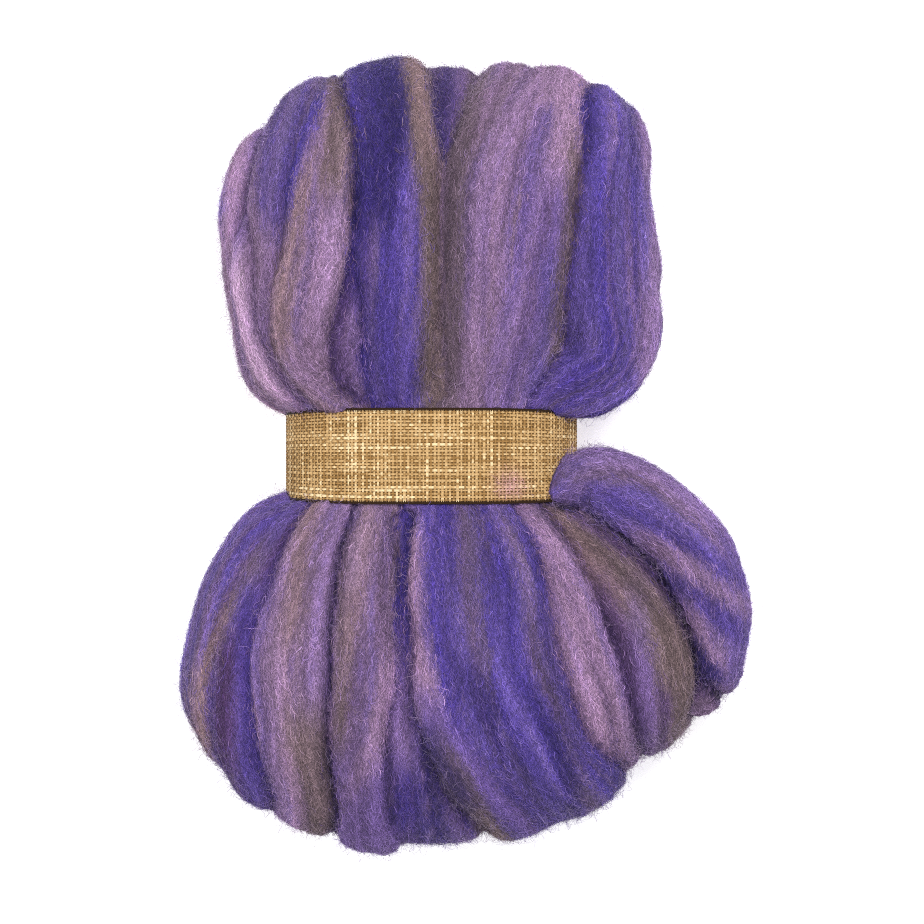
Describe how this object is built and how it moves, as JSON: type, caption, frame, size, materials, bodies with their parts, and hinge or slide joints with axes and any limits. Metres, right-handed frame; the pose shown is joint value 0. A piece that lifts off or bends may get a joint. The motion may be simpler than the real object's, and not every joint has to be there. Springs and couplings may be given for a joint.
{
  "type": "wool roving hank tied with a burlap ribbon",
  "caption": "Hank of variegated wool roving folded back and forth, puffed at its ends and tied round its middle with a plain burlap ribbon.",
  "frame": {"origin": "on the surface the hank lies on, under the middle of its outline seen from above", "axes": "+Z up from the surface towards the hank's face, +Y along the hank from the wider lobe to the narrower one, +X to the right of someone who looks down at the face with +Y up"},
  "size_m": [0.226, 0.3184, 0.0932],
  "materials": {
    "wool": "soft matt fibre, dyed in blue-violet, violet, lilac, mauve and grey-taupe",
    "burlap": "matt plain weave of golden-tan jute"
  },
  "bodies": {
    "root": {"roving_hank": "wool", "burlap_tie": "burlap"}
  },
  "joints": []
}
